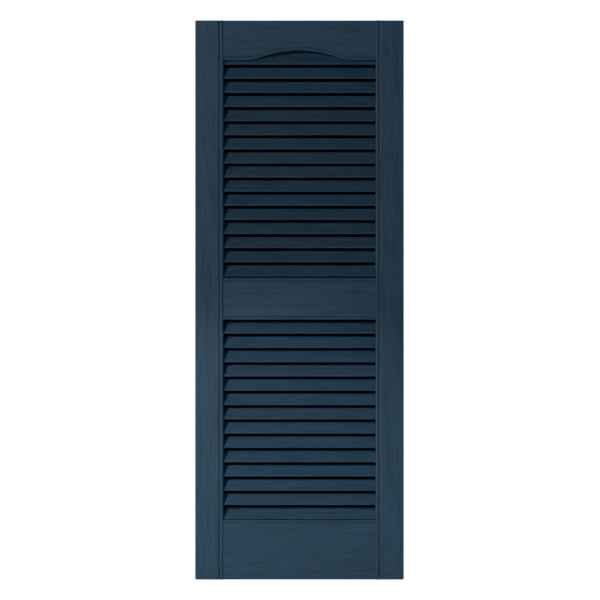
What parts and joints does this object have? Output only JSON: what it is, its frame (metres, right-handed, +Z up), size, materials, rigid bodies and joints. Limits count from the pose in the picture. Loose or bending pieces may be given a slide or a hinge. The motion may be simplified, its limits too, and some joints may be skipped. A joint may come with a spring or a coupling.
{
  "type": "louvred shutter",
  "caption": "Exterior louvred shutter moulded in one piece, with fixed louvres, an arched top rail, a middle rail and an open, ribbed back that rests on a wall.",
  "frame": {"origin": "centre of the wall plane, on which the rim and ribs of the open back rest", "axes": "+X to the right as seen from the front, +Z up, -Y out of the front face, so +Y points into the wall"},
  "size_m": [0.3682, 0.0254, 0.9884],
  "materials": {
    "plastic": "satin, moulded-in slate blue with an embossed wood grain"
  },
  "bodies": {
    "root": {"shutter": "plastic"}
  },
  "joints": []
}
